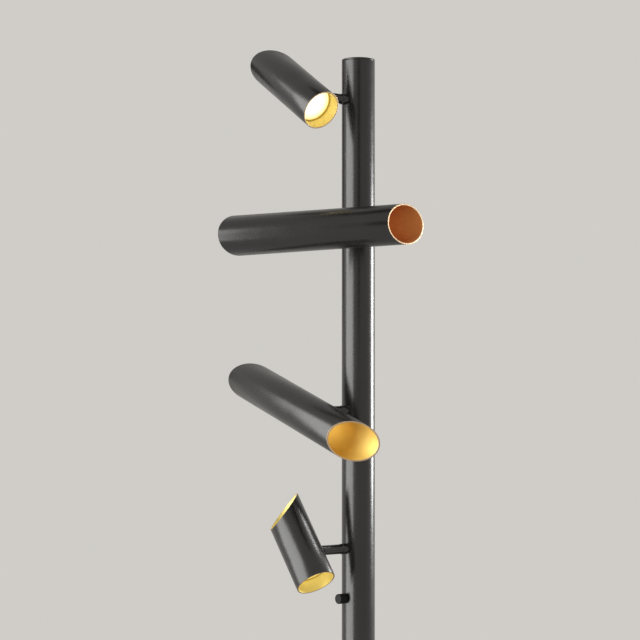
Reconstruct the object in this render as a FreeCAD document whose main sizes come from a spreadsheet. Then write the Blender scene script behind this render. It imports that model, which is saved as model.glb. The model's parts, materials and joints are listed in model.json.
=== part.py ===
"""Tree floor lamp: a round weighted base, a slim two-section pole and four tubular heads.

Every head is a tube whose far end is cut on the slant.  Its light engine, a finned heat sink with
an LED board behind a recessed opal diffuser, faces the near end.  The head turns on a level arm
that stands square to the pole.  A hollow pivot nipple passes through pole, arm and tube wall, and
carries the wires.  Millimetres, +Z up, origin on the pole's axis at the floor.  The arms of heads
1, 3 and 4 point along -Y; the arm of head 2 is turned round the pole towards +X.
"""
import FreeCAD, Part
import os
import re
import Sketcher
from FreeCAD import Placement, Rotation, Vector

# ---------------------------------------------------------------- driving dimensions
DIMENSIONS = {
    # pole
    "overall_height": 1650,
    "pole_outer_radius": 25,
    "pole_wall": 1.5,
    "pole_seam_height": 700,
    "coupler_half_length": 40,
    "coupler_wall": 3,
    "cap_thickness": 3,
    "cap_edge": 0.8,
    "cap_spigot": 10,
    "cap_spigot_wall": 2.5,
    "plug_gap": 0.1,
    "grub_radius": 2.5,
    "grub_length": 5.5,
    "grub_from_seam": 20,
    "drill_depth": 20,
    "lead_in": 1,
    "clearance": 0.05,
    "cut_margin": 5,
    # base
    "cover_radius": 150,
    "cover_sheet": 1.5,
    "cover_edge_radius": 5,
    "cover_inner_chamfer": 2,
    "cover_floor_gap": 1.2,
    "pad_radius": 142,
    "pad_thickness": 3,
    "weight_radius": 145,
    "weight_top": 17,
    "weight_chamfer": 5,
    "recess_radius": 30,
    "recess_top": 11,
    "wire_groove_width": 12,
    "wire_groove_top": 13,
    "wire_groove_overlap": 3,
    "base_bore": 5.2,
    "nipple_outer": 5,
    "nipple_inner": 3.5,
    "nipple_bottom": 3.6,
    "nipple_top": 50,
    "base_nut_width": 17,
    "base_nut_height": 5,
    "base_washer_radius": 14,
    "base_washer_height": 2,
    "foot_flange": 4,
    "foot_spigot": 25,
    "inlet_height": 9,
    "inlet_hole": 5,
    "inlet_bore": 3,
    "inlet_flange": 6,
    "inlet_flange_height": 1.5,
    "inlet_slack": 0.3,
    "inlet_lip": 1.6,
    "inlet_lip_edge": 0.6,
    # arms and pivots
    "arm_reach": 108,
    "arm_radius": 7.3,
    "collar_radius": 7.9,
    "collar_end": 34.5,
    "collar_chamfer": 0.4,
    "collar_overlap": 6,
    "arm_split": 71.5,
    "washer_height": 0.8,
    "washer_inset": 0.3,
    "turning_gap": 0.1,
    "saddle_radius": 8.4,
    "saddle_length": 3,
    "saddle_flare": 1,
    "saddle_overlap": 4,
    "pivot_radius": 4.9,
    "pivot_bore": 3.2,
    "pivot_start": 16.5,
    "pole_nut_radius": 9,
    "pole_nut_back": 18.5,
    "pole_nut_length": 10,
    "seat_depth": 6,
    "head_nut_width": 14,
    "head_nut_height": 5,
    "pivot_tail": 2.2,
    # head tubes
    "tube_outer_radius": 29.5,
    "tube_wall": 2,
    "cut_run": 0.839,
    "fit_gap": 0.1,
    "head_1_height": 1587.5,
    "head_2_height": 1387,
    "head_3_height": 1120.5,
    "head_4_height": 913.5,
    "head_1_near": 53.5,
    "head_1_far": 78.5,
    "head_2_near": 76,
    "head_2_far": 169.5,
    "head_3_near": 124,
    "head_3_far": 127.5,
    "head_4_near": 53.5,
    "head_4_far": 72,
    "head_1_tilt": -33.7,
    "head_2_tilt": 3.5,
    "head_3_tilt": -19.6,
    "head_4_tilt": -52.8,
    "arm_2_azimuth": 46,
    # light engine, measured along the tube from the pivot
    "fins_start": 9.5,
    "fin_length": 9.5,
    "fin_radius": 25,
    "fin_slot": 2.8,
    "fin_pitch": 4.8,
    "fin_root": 0.5,
    "sink_floor": 4,
    "sink_rim": 5.4,
    "sink_rim_wall": 1.8,
    "board_radius": 22,
    "board_thickness": 1.6,
    "emitter_radius": 8,
    "emitter_height": 0.8,
    "emitter_edge": 0.5,
    "board_screw_circle": 17,
    "board_screw_hole": 1.6,
    "board_screw_depth": 3,
    "diffuser_thickness": 3,
    "diffuser_edge": 0.5,
    "ring_height": 2,
    "ring_inner": 25.4,
    "ring_gap": 5,
    "baffle_start": 12,
    "baffle_sheet": 1.2,
    "baffle_rim": 6,
    # dimmer and wiring
    "dimmer_height": 839,
    "dimmer_back": 9,
    "dimmer_face": 19,
    "dimmer_can_radius": 8.5,
    "bushing_radius": 3.5,
    "bushing_end": 28.1,
    "bushing_hole": 3.6,
    "shaft_radius": 3,
    "shaft_start": 12.6,
    "shaft_end": 38,
    "shaft_end_play": 0.6,
    "dimmer_nut_width": 10,
    "dimmer_nut_height": 2,
    "knob_radius": 7.5,
    "knob_back": 25.7,
    "knob_front": 40,
    "knob_recess_radius": 6.4,
    "knob_recess_depth": 2.6,
    "knob_chamfer": 0.8,
    "knob_grip": 0.02,
    "knurl_count": 28,
    "knurl_depth": 0.5,
    "knurl_half_width": 0.5,
    "driver_width": 30,
    "driver_depth": 24,
    "driver_bottom": 90,
    "driver_length": 150,
    "driver_edge": 3,
    "trunk_radius": 3,
    "branch_radius": 1.6,
    "branch_back": 16,
}

HEADS = (1, 2, 3, 4)
SQUARE_NEAR_END = (1, 4)
LONGER_ON_THE_POLE_SIDE = (4,)
FIN_SLOTS = 9

doc = FreeCAD.newDocument("tree_floor_lamp")
sheet = doc.addObject("Spreadsheet::Sheet", "Sizes")
for row, (alias, number) in enumerate(DIMENSIONS.items(), start=1):
    sheet.set("A%d" % row, alias)
    sheet.set("B%d" % row, str(number))
    sheet.setAlias("B%d" % row, alias)
doc.recompute()

SUB_PARTS = []


# ---------------------------------------------------------------- helpers
def size(alias):
    """A driving dimension as a number."""
    return float(getattr(sheet, alias))


def bound(text):
    """The expression with every dimension's name pointed at the sheet."""
    return re.sub(r"[a-z][a-z_0-9]*", lambda found: "Sizes." + found.group(0), text)


def new_body(label):
    """An empty body that becomes one sub-part."""
    body = doc.addObject("PartDesign::Body", label)
    body.Label = label
    SUB_PARTS.append(body)
    return body


def origin_feature(body, role):
    """One of a body's own origin planes or axes."""
    return [feature for feature in body.Origin.OriginFeatures if feature.Role == role][0]


def new_sketch(body, name, plane, offset=None):
    """A sketch on an origin plane, moved within that plane's frame by the offset expressions."""
    sketch = body.newObject("Sketcher::SketchObject", name)
    sketch.AttachmentSupport = [(origin_feature(body, plane), "")]
    sketch.MapMode = "FlatFace"
    for axis, text in (offset or {}).items():
        sketch.setExpression("AttachmentOffset.Base." + axis, bound(text))
    return sketch


def hold_point(sketch, element, vertex, across, up):
    """Dimension a point from the sketch's origin; a zero puts it on the sketch's own axis."""
    for kind, axis, text in (("DistanceX", -2, across), ("DistanceY", -1, up)):
        if text == "0":
            sketch.addConstraint(Sketcher.Constraint("PointOnObject", element, vertex, axis))
            continue
        index = sketch.addConstraint(Sketcher.Constraint(kind, -1, 1, element, vertex, 1.0))
        sketch.setExpression("Constraints[%d]" % index, bound(text))


def draw_outline(sketch, points):
    """A closed outline of straight lines through points given as pairs of expressions."""
    first = sketch.GeometryCount
    count = len(points)
    for index in range(count):
        start = Vector(index + 1, index * index + 1, 0)
        end = Vector(index + 2, (index + 1) ** 2 + 1, 0)
        sketch.addGeometry(Part.LineSegment(start, end))
    for index in range(count):
        following = first + (index + 1) % count
        sketch.addConstraint(Sketcher.Constraint("Coincident", first + index, 2, following, 1))
    for index, (across, up) in enumerate(points):
        hold_point(sketch, first + index, 1, across, up)


def draw_circle(sketch, across, up, radius):
    """A circle whose centre and radius are expressions."""
    circle = sketch.addGeometry(Part.Circle(Vector(1, 1, 0), Vector(0, 0, 1), 1.0))
    index = sketch.addConstraint(Sketcher.Constraint("Radius", circle, 1.0))
    sketch.setExpression("Constraints[%d]" % index, bound(radius))
    hold_point(sketch, circle, 3, across, up)


def revolve(body, plane, axis, points, offset=None):
    """Turn an outline round its sketch's H_Axis or V_Axis."""
    sketch = new_sketch(body, body.Name + "_profile", plane, offset)
    draw_outline(sketch, points)
    turned = body.newObject("PartDesign::Revolution", body.Name + "_turned")
    turned.Profile = sketch
    turned.ReferenceAxis = (sketch, [axis])
    turned.Angle = 360
    doc.recompute()
    return turned


def pad(body, sketch, length, symmetric=False):
    """Extrude a sketch by a length expression."""
    padded = body.newObject("PartDesign::Pad", sketch.Name + "_pad")
    padded.Profile = sketch
    padded.Midplane = symmetric
    padded.setExpression("Length", bound(length))
    doc.recompute()
    return padded


def pocket(body, sketch, length, symmetric=False):
    """Cut a sketch into the body, turned round if the first direction removes nothing."""
    before = body.Shape.Volume
    cut = body.newObject("PartDesign::Pocket", sketch.Name + "_pocket")
    cut.Profile = sketch
    cut.Midplane = symmetric
    cut.setExpression("Length", bound(length))
    doc.recompute()
    if body.Shape.Volume > before - 1e-6:
        cut.Reversed = True
        doc.recompute()
    if body.Shape.Volume > before - 1e-6:
        raise RuntimeError("nothing was cut by " + sketch.Name)
    return cut


def repeat(body, feature, kind, direction, count, **sizes):
    """A polar or linear pattern of one feature."""
    pattern = body.newObject("PartDesign::" + kind, feature.Name + "_pattern")
    pattern.Originals = [feature]
    if kind == "PolarPattern":
        pattern.Axis = direction
    else:
        pattern.Direction = direction
    for name, text in sizes.items():
        pattern.setExpression(name, bound(text))
    pattern.Occurrences = count
    body.Tip = pattern
    doc.recompute()
    return pattern


def round_edges(body, feature, radius, wanted):
    """Fillet the edges of a feature that the test picks out."""
    names = ["Edge%d" % number for number, edge in enumerate(feature.Shape.Edges, 1) if wanted(edge)]
    rounded = body.newObject("PartDesign::Fillet", feature.Name + "_fillet")
    rounded.Base = (feature, names)
    rounded.setExpression("Radius", bound(radius))
    doc.recompute()
    return rounded


def cylinder(name, radius, length, place):
    """A plain cylinder with its size bound to the sheet."""
    solid = doc.addObject("Part::Cylinder", name)
    solid.setExpression("Radius", bound(radius))
    solid.setExpression("Height", bound(length))
    solid.Placement = place
    return solid


def hexagon(name, width_across_flats, height, place):
    """A six-sided prism, such as the blank of a nut."""
    solid = doc.addObject("Part::Prism", name)
    solid.Polygon = 6
    solid.setExpression("Circumradius", bound(width_across_flats) + " / 2 / cos(30)")
    solid.setExpression("Height", bound(height))
    solid.Placement = place
    return solid


def boolean(kind, name, base, tool):
    """A Part::Cut or Part::Common of two shapes."""
    result = doc.addObject("Part::" + kind, name)
    result.Base = base
    result.Tool = tool
    return result


def gather(label, shapes):
    """Separate like solids kept as one sub-part."""
    group = doc.addObject("Part::Compound", label)
    group.Label = label
    group.Links = shapes
    SUB_PARTS.append(group)
    return group


def along_arm(distance, height=0.0, azimuth=0.0):
    """A placement on an arm's axis, its Z axis pointing away from the pole."""
    turn = Rotation(Vector(0, 0, 1), azimuth)
    outward = turn.multVec(Vector(0, -distance, 0))
    return Placement(outward + Vector(0, 0, height), turn * Rotation(Vector(1, 0, 0), 90))


def upright(height):
    """A placement on the pole's axis."""
    return Placement(Vector(0, 0, height), Rotation())


def arm_height(head):
    """Height of a head's pivot axis."""
    return size("head_%d_height" % head)


def arm_azimuth(head):
    """How far a head's arm is turned round the pole from -Y towards +X."""
    return size("arm_2_azimuth") if head == 2 else 0.0


def fixed_place(head):
    """Where the fixed pieces of an arm stand."""
    return Placement(Vector(0, 0, arm_height(head)), Rotation(Vector(0, 0, 1), arm_azimuth(head)))


def turned_place(head):
    """Where the turning pieces of a head stand: the arm's place, tilted about the pivot axis."""
    tilt = Rotation(Vector(0, 1, 0), -size("head_%d_tilt" % head))
    return fixed_place(head) * Placement(Vector(), tilt)


# ---------------------------------------------------------------- base
def make_base_pad():
    """Soft disc that the lamp stands on."""
    body = new_body("base_pad")
    revolve(body, "XZ_Plane", "V_Axis", [
        ("0", "0"), ("pad_radius", "0"), ("pad_radius", "pad_thickness"), ("0", "pad_thickness")])


def make_base_weight():
    """Steel disc with a recess for the fixing nut and a groove for the supply wires."""
    body = new_body("base_weight")
    revolve(body, "XZ_Plane", "V_Axis", [
        ("base_bore", "recess_top"), ("recess_radius", "recess_top"),
        ("recess_radius", "pad_thickness"), ("weight_radius", "pad_thickness"),
        ("weight_radius", "weight_top - weight_chamfer"),
        ("weight_radius - weight_chamfer", "weight_top"), ("base_bore", "weight_top")])
    groove = new_sketch(body, "wire_groove", "XY_Plane", {"z": "wire_groove_top"})
    draw_outline(groove, [
        ("-wire_groove_width / 2", "recess_radius - wire_groove_overlap"),
        ("wire_groove_width / 2", "recess_radius - wire_groove_overlap"),
        ("wire_groove_width / 2", "weight_radius + cut_margin"),
        ("-wire_groove_width / 2", "weight_radius + cut_margin")])
    pocket(body, groove, "wire_groove_top")


def make_base_cover():
    """Spun steel cover over the weight, with the inlet hole through its rim at the back."""
    body = new_body("base_cover")
    inside = "cover_radius - cover_sheet"
    cover = revolve(body, "XZ_Plane", "V_Axis", [
        ("base_bore", "weight_top"), (inside + " - cover_inner_chamfer", "weight_top"),
        (inside, "weight_top - cover_inner_chamfer"), (inside, "cover_floor_gap"),
        ("cover_radius", "cover_floor_gap"), ("cover_radius", "weight_top + cover_sheet"),
        ("base_bore", "weight_top + cover_sheet")])
    top = size("weight_top") + size("cover_sheet")
    round_edges(body, cover, "cover_edge_radius",
                lambda edge: is_ring(edge, size("cover_radius"), top))
    hole = new_sketch(body, "inlet_hole_outline", "XZ_Plane", {"z": "-cover_radius - cut_margin"})
    draw_circle(hole, "0", "inlet_height", "inlet_hole")
    pocket(body, hole, "2 * cut_margin")


def is_ring(edge, radius, height):
    """Whether an edge is a level circle of this radius at this height."""
    if not isinstance(edge.Curve, Part.Circle):
        return False
    return abs(edge.Curve.Radius - radius) < 1e-4 and abs(edge.Curve.Center.z - height) < 1e-4


def make_cord_bushing():
    """Grommet that lines the inlet hole."""
    body = new_body("cord_bushing")
    inside = "cover_radius - cover_sheet - inlet_slack"
    end = inside + " - inlet_flange_height"
    lip = "cover_radius + inlet_lip"
    revolve(body, "YZ_Plane", "H_Axis", [
        (end, "inlet_bore"), (lip, "inlet_bore"), (lip, "inlet_flange - inlet_lip_edge"),
        (lip + " - inlet_lip_edge", "inlet_flange"), ("cover_radius", "inlet_flange"),
        ("cover_radius", "inlet_hole - plug_gap"), (inside, "inlet_hole - plug_gap"),
        (inside, "inlet_flange - inlet_slack"), (end, "inlet_flange - inlet_slack"),
    ], {"y": "inlet_height"})


def make_base_fixing():
    """Hollow nipple, washer and nut that draw base and pole together."""
    nipple = boolean(
        "Cut", "base_nipple",
        cylinder("base_nipple_blank", "nipple_outer", "nipple_top - nipple_bottom",
                 upright(size("nipple_bottom"))),
        cylinder("base_nipple_bore", "nipple_inner", "nipple_top", upright(0)))
    washer_bottom = size("recess_top") - size("base_washer_height")
    washer = boolean(
        "Cut", "base_washer",
        cylinder("base_washer_blank", "base_washer_radius", "base_washer_height",
                 upright(washer_bottom)),
        cylinder("base_washer_bore", "base_bore", "recess_top", upright(0)))
    nut = boolean(
        "Cut", "base_nut",
        hexagon("base_nut_blank", "base_nut_width", "base_nut_height",
                upright(washer_bottom - size("base_nut_height"))),
        cylinder("base_nut_bore", "nipple_outer + clearance", "recess_top", upright(0)))
    SUB_PARTS.extend([nipple, washer, nut])


# ---------------------------------------------------------------- pole
def make_pole_foot_plug():
    """Turned plug that the pole stands on and the base nipple screws into."""
    body = new_body("pole_foot_plug")
    seat = "weight_top + cover_sheet"
    spigot = "pole_outer_radius - pole_wall - plug_gap"
    revolve(body, "XZ_Plane", "V_Axis", [
        ("base_bore", seat), ("pole_outer_radius", seat),
        ("pole_outer_radius", seat + " + foot_flange"), (spigot, seat + " + foot_flange"),
        (spigot, seat + " + foot_flange + foot_spigot - lead_in"),
        (spigot + " - lead_in", seat + " + foot_flange + foot_spigot"),
        ("base_bore", seat + " + foot_flange + foot_spigot")])


def pole_section(label, bottom, length):
    """A length of pole tube."""
    body = new_body(label)
    ring = new_sketch(body, label + "_ring", "XY_Plane", {"z": bottom})
    draw_circle(ring, "0", "0", "pole_outer_radius")
    draw_circle(ring, "0", "0", "pole_outer_radius - pole_wall")
    pad(body, ring, length)
    return body


def drill_back(body, name, height):
    """A grub screw's hole through the back of a pole piece."""
    outline = new_sketch(body, name, "XZ_Plane", {"z": "-pole_outer_radius - cut_margin"})
    draw_circle(outline, "0", height, "grub_radius")
    pocket(body, outline, "drill_depth")


def make_lower_pole():
    """Lower tube, from the foot plug to the seam."""
    seat = "weight_top + cover_sheet + foot_flange"
    body = pole_section("lower_pole", seat, "pole_seam_height - (%s)" % seat)
    drill_back(body, "lower_grub_hole", "pole_seam_height - grub_from_seam")


def make_upper_pole():
    """Upper tube, drilled on its front for the pivots and the dimmer."""
    body = pole_section("upper_pole", "pole_seam_height",
                        "overall_height - cap_thickness - pole_seam_height")
    drill_back(body, "upper_grub_hole", "pole_seam_height + grub_from_seam")
    front = new_sketch(body, "front_holes", "XZ_Plane", {"z": "pole_outer_radius + cut_margin"})
    for head in (1, 3, 4):
        draw_circle(front, "0", "head_%d_height" % head, "pivot_radius + clearance")
    draw_circle(front, "0", "dimmer_height", "bushing_hole")
    pocket(body, front, "drill_depth")
    turned = new_sketch(body, "turned_hole", "XZ_Plane")
    turned.AttachmentOffset = Placement(Vector(), Rotation(Vector(0, 1, 0), arm_azimuth(2)))
    draw_circle(turned, "0", "head_2_height", "pivot_radius + clearance")
    cut = pocket(body, turned, "pole_outer_radius + cut_margin")
    wall = size("pole_outer_radius") - size("pole_wall") / 2
    probe = along_arm(wall, arm_height(2), arm_azimuth(2)).Base
    if body.Shape.isInside(probe, 1e-3, True):
        cut.Reversed = True
        doc.recompute()


def make_pole_coupler():
    """Inner sleeve that joins the two tubes, and its grub screws."""
    body = new_body("pole_coupler")
    ring = new_sketch(body, "coupler_ring", "XY_Plane", {"z": "pole_seam_height - coupler_half_length"})
    sleeve = "pole_outer_radius - pole_wall - plug_gap"
    draw_circle(ring, "0", "0", sleeve)
    draw_circle(ring, "0", "0", sleeve + " - coupler_wall")
    pad(body, ring, "2 * coupler_half_length")
    screws = []
    for level, sign in (("lower", -1), ("upper", 1)):
        drill_back(body, "coupler_hole_" + level, "pole_seam_height + %d * grub_from_seam" % sign)
        place = along_arm(-size("pole_outer_radius"),
                          size("pole_seam_height") + sign * size("grub_from_seam"))
        below = Placement(Vector(0, 0, -size("clearance")), Rotation())
        blank = cylinder("grub_blank_" + level, "grub_radius - clearance", "grub_length", place)
        socket = hexagon("grub_socket_" + level, "grub_radius", "grub_length / 2", place * below)
        screws.append(boolean("Cut", "grub_screw_" + level, blank, socket))
    gather("coupler_screws", screws)


def make_pole_cap():
    """Flat cap with a spigot inside the tube."""
    body = new_body("pole_cap")
    spigot = "pole_outer_radius - pole_wall - plug_gap"
    rim = "overall_height - cap_thickness"
    revolve(body, "XZ_Plane", "V_Axis", [
        ("0", rim), (spigot + " - cap_spigot_wall", rim),
        (spigot + " - cap_spigot_wall", rim + " - cap_spigot"),
        (spigot, rim + " - cap_spigot"), (spigot, rim), ("pole_outer_radius", rim),
        ("pole_outer_radius", "overall_height - cap_edge"),
        ("pole_outer_radius - cap_edge", "overall_height"), ("0", "overall_height")])


# ---------------------------------------------------------------- arms and pivots
def make_arm_base(head):
    """Fixed half of an arm: a collar saddled to the pole and a plain barrel."""
    body = new_body("arm_base_%d" % head)
    bore = "pivot_radius + clearance"
    revolve(body, "XY_Plane", "V_Axis", [
        (bore, "-pole_outer_radius + collar_overlap"),
        ("collar_radius", "-pole_outer_radius + collar_overlap"),
        ("collar_radius", "-collar_end + collar_chamfer"),
        ("collar_radius - collar_chamfer", "-collar_end"),
        ("arm_radius", "-collar_end"), ("arm_radius", "-arm_split"), (bore, "-arm_split")])
    outline = new_sketch(body, "pole_saddle_%d" % head, "XY_Plane")
    draw_circle(outline, "0", "0", "pole_outer_radius")
    pocket(body, outline, "4 * collar_radius", symmetric=True)
    body.Placement = fixed_place(head)


def make_arm_swivel(head):
    """Turning half of an arm, flared and saddled to the head tube."""
    body = new_body("arm_swivel_%d" % head)
    bore = "pivot_radius + clearance"
    start = "-arm_split - washer_height - turning_gap"
    wall = "-arm_reach + tube_outer_radius"
    revolve(body, "XY_Plane", "V_Axis", [
        (bore, start), ("arm_radius", start),
        ("arm_radius", wall + " + saddle_length + saddle_flare"),
        ("saddle_radius", wall + " + saddle_length"), ("saddle_radius", wall + " - saddle_overlap"),
        (bore, wall + " - saddle_overlap")])
    outline = new_sketch(body, "tube_saddle_%d" % head, "YZ_Plane")
    draw_circle(outline, "-arm_reach", "0", "tube_outer_radius")
    pocket(body, outline, "4 * saddle_radius", symmetric=True)
    body.Placement = turned_place(head)


def make_tube_seat(head):
    """Thick washer inside the tube: curved towards the wall, flat towards the nut."""
    body = new_body("tube_seat_%d" % head)
    bore = "pivot_radius + clearance"
    inner_wall = "-arm_reach + tube_outer_radius - tube_wall"
    revolve(body, "XY_Plane", "V_Axis", [
        (bore, inner_wall + " + lead_in"), ("pole_nut_radius", inner_wall + " + lead_in"),
        ("pole_nut_radius", inner_wall + " - seat_depth"), (bore, inner_wall + " - seat_depth")])
    outline = new_sketch(body, "seat_curve_%d" % head, "YZ_Plane")
    draw_circle(outline, "-arm_reach", "0", "tube_outer_radius - tube_wall")
    draw_circle(outline, "-arm_reach", "0", "2 * tube_outer_radius")
    pocket(body, outline, "4 * saddle_radius", symmetric=True)
    body.Placement = turned_place(head)


def make_pivots():
    """Hollow pivot nipples with their washers and nuts, all fixed to the pole."""
    reach = size("arm_reach") - size("tube_outer_radius") + size("tube_wall")
    nut_start = reach + size("seat_depth") + size("turning_gap")
    nipple_length = ("arm_reach - tube_outer_radius + tube_wall + seat_depth + turning_gap"
                     " + head_nut_height + pivot_tail - pivot_start")
    nipples, washers, pole_nuts, head_nuts = [], [], [], []
    for head in HEADS:
        where = {"height": arm_height(head), "azimuth": arm_azimuth(head)}
        nipples.append(boolean(
            "Cut", "pivot_nipple_%d" % head,
            cylinder("pivot_blank_%d" % head, "pivot_radius", nipple_length,
                     along_arm(size("pivot_start"), **where)),
            cylinder("pivot_bore_%d" % head, "pivot_bore", "2 * arm_reach", along_arm(0, **where))))
        washers.append(boolean(
            "Cut", "friction_washer_%d" % head,
            cylinder("washer_blank_%d" % head, "arm_radius - washer_inset", "washer_height",
                     along_arm(size("arm_split"), **where)),
            cylinder("washer_bore_%d" % head, "pivot_radius + clearance", "2 * arm_reach",
                     along_arm(0, **where))))
        blank = boolean(
            "Common", "pole_nut_blank_%d" % head,
            cylinder("pole_nut_bar_%d" % head, "pole_nut_radius", "pole_nut_length",
                     along_arm(size("pole_nut_back"), **where)),
            cylinder("pole_nut_curve_%d" % head, "pole_outer_radius - pole_wall",
                     "4 * pole_nut_radius", upright(arm_height(head) - 2 * size("pole_nut_radius"))))
        pole_nuts.append(boolean(
            "Cut", "pole_nut_%d" % head, blank,
            cylinder("pole_nut_bore_%d" % head, "pivot_radius + clearance", "2 * arm_reach",
                     along_arm(0, **where))))
        head_nuts.append(boolean(
            "Cut", "head_nut_%d" % head,
            hexagon("head_nut_blank_%d" % head, "head_nut_width", "head_nut_height",
                    along_arm(nut_start, **where)),
            cylinder("head_nut_bore_%d" % head, "pivot_radius + clearance", "2 * arm_reach",
                     along_arm(0, **where))))
    gather("pivot_nipples", nipples)
    gather("friction_washers", washers)
    gather("pole_nuts", pole_nuts)
    gather("head_nuts", head_nuts)


# ---------------------------------------------------------------- heads
def slant(head, end, sign):
    """Two corners of an end cut, as seen from above, beyond the tube's edges on both sides."""
    beyond = "2 * tube_outer_radius"
    side = -1 if head in LONGER_ON_THE_POLE_SIDE else 1
    place = "%shead_%d_%s" % (sign, head, end)
    slope = "%s cut_run * %s" % ("+" if side > 0 else "-", beyond)
    back = "%s cut_run * %s" % ("-" if side > 0 else "+", beyond)
    return [("%s %s" % (place, slope), "-arm_reach + " + beyond),
            ("%s %s" % (place, back), "-arm_reach - " + beyond)]


def make_head_tube(head):
    """Thin tube: square or slanted near end, slanted far end, one hole for the pivot."""
    body = new_body("head_tube_%d" % head)
    near, far = "head_%d_near" % head, "head_%d_far" % head
    margin = "2 * tube_outer_radius"
    ring = new_sketch(body, "tube_ring_%d" % head, "YZ_Plane", {"z": "-%s - %s" % (far, margin)})
    draw_circle(ring, "-arm_reach", "0", "tube_outer_radius")
    draw_circle(ring, "-arm_reach", "0", "tube_outer_radius - tube_wall")
    if head in SQUARE_NEAR_END:
        pad(body, ring, "%s + %s + %s" % (near, far, margin))
        cuts = [("far", "-")]
    else:
        pad(body, ring, "%s + %s + 2 * %s" % (near, far, margin))
        cuts = [("far", "-"), ("near", "")]
    for end, sign in cuts:
        outline = new_sketch(body, "%s_cut_%d" % (end, head), "XY_Plane")
        inner, outer = slant(head, end, sign)
        past = "%s 6 * tube_outer_radius" % ("-" if end == "far" else "+")
        draw_outline(outline, [inner, outer, ("%s %s" % (outer[0], past), outer[1]),
                               ("%s %s" % (inner[0], past), inner[1])])
        pocket(body, outline, "4 * tube_outer_radius", symmetric=True)
    hole = new_sketch(body, "pivot_hole_%d" % head, "XZ_Plane")
    draw_circle(hole, "0", "0", "pivot_radius + clearance")
    pocket(body, hole, "2 * (arm_reach - tube_outer_radius / 2)", symmetric=True)
    body.Placement = turned_place(head)


def make_heat_sink(head):
    """Finned cup that fills the bore and carries the LED board and the diffuser."""
    body = new_body("heat_sink_%d" % head)
    on_tube_axis = {"y": "-arm_reach"}
    floor = "fins_start + fin_length"
    bore = "tube_outer_radius - tube_wall - fit_gap"
    revolve(body, "XY_Plane", "H_Axis", [
        (floor, "0"), (floor, bore), (floor + " + sink_floor + sink_rim", bore),
        (floor + " + sink_floor + sink_rim", bore + " - sink_rim_wall"),
        (floor + " + sink_floor", bore + " - sink_rim_wall"), (floor + " + sink_floor", "0"),
    ], on_tube_axis)
    block = new_sketch(body, "fin_block_%d" % head, "YZ_Plane", {"z": "fins_start"})
    draw_circle(block, "-arm_reach", "0", "fin_radius")
    pad(body, block, "fin_length + fin_root")
    slot = new_sketch(body, "fin_slot_%d" % head, "YZ_Plane", {"z": "fins_start"})
    reach = "(fin_radius + cut_margin)"
    lowest = "-%d * fin_pitch" % (FIN_SLOTS // 2)
    draw_outline(slot, [
        ("-arm_reach - " + reach, lowest + " - fin_slot / 2"),
        ("-arm_reach + " + reach, lowest + " - fin_slot / 2"),
        ("-arm_reach + " + reach, lowest + " + fin_slot / 2"),
        ("-arm_reach - " + reach, lowest + " + fin_slot / 2")])
    first = pocket(body, slot, "fin_length")
    repeat(body, first, "LinearPattern", (origin_feature(body, "Z_Axis"), [""]), FIN_SLOTS,
           Length="%d * fin_pitch" % (FIN_SLOTS - 1))
    screws = new_sketch(body, "board_screws_%d" % head, "YZ_Plane", {"z": floor + " + sink_floor"})
    for height in ("-board_screw_circle", "board_screw_circle"):
        draw_circle(screws, "-arm_reach", height, "board_screw_hole")
    pocket(body, screws, "board_screw_depth")
    body.Placement = turned_place(head)


def make_led_board(head):
    """Round board with its emitter patch."""
    body = new_body("led_board_%d" % head)
    face = "fins_start + fin_length + sink_floor"
    revolve(body, "XY_Plane", "H_Axis", [
        (face, "0"), (face, "board_radius"), (face + " + board_thickness", "board_radius"),
        (face + " + board_thickness", "emitter_radius"),
        (face + " + board_thickness + emitter_height", "emitter_radius - emitter_edge"),
        (face + " + board_thickness + emitter_height", "0")], {"y": "-arm_reach"})
    body.Placement = turned_place(head)


def make_diffuser(head):
    """Opal disc with an eased front edge."""
    body = new_body("diffuser_%d" % head)
    back = "fins_start + fin_length + sink_floor + sink_rim"
    radius = "tube_outer_radius - tube_wall - 2 * fit_gap"
    revolve(body, "XY_Plane", "H_Axis", [
        (back, "0"), (back, radius), (back + " + diffuser_thickness - diffuser_edge", radius),
        (back + " + diffuser_thickness", radius + " - diffuser_edge"),
        (back + " + diffuser_thickness", "0")], {"y": "-arm_reach"})
    body.Placement = turned_place(head)


def make_retaining_ring(head):
    """Split snap ring that keeps the diffuser in."""
    body = new_body("retaining_ring_%d" % head)
    back = "fins_start + fin_length + sink_floor + sink_rim + diffuser_thickness"
    ring = new_sketch(body, "snap_ring_%d" % head, "YZ_Plane", {"z": back})
    draw_circle(ring, "-arm_reach", "0", "tube_outer_radius - tube_wall - fit_gap / 2")
    draw_circle(ring, "-arm_reach", "0", "ring_inner")
    pad(body, ring, "ring_height")
    gap = new_sketch(body, "snap_gap_%d" % head, "YZ_Plane", {"z": back})
    outer = "-arm_reach - tube_outer_radius"
    inner = "-arm_reach - ring_inner + cut_margin"
    draw_outline(gap, [
        (outer, "-ring_gap / 2"), (inner, "-ring_gap / 2"),
        (inner, "ring_gap / 2"), (outer, "ring_gap / 2")])
    pocket(body, gap, "ring_height")
    body.Placement = turned_place(head)


def make_baffle(head):
    """Pressed dish that closes the bore behind the pivot nut."""
    body = new_body("baffle_%d" % head)
    radius = "tube_outer_radius - tube_wall - fit_gap"
    revolve(body, "XY_Plane", "H_Axis", [
        ("-baffle_start", "0"), ("-baffle_start", radius),
        ("-baffle_start - baffle_rim", radius),
        ("-baffle_start - baffle_rim", radius + " - baffle_sheet"),
        ("-baffle_start - baffle_sheet", radius + " - baffle_sheet"),
        ("-baffle_start - baffle_sheet", "0")], {"y": "-arm_reach"})
    body.Placement = turned_place(head)


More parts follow.
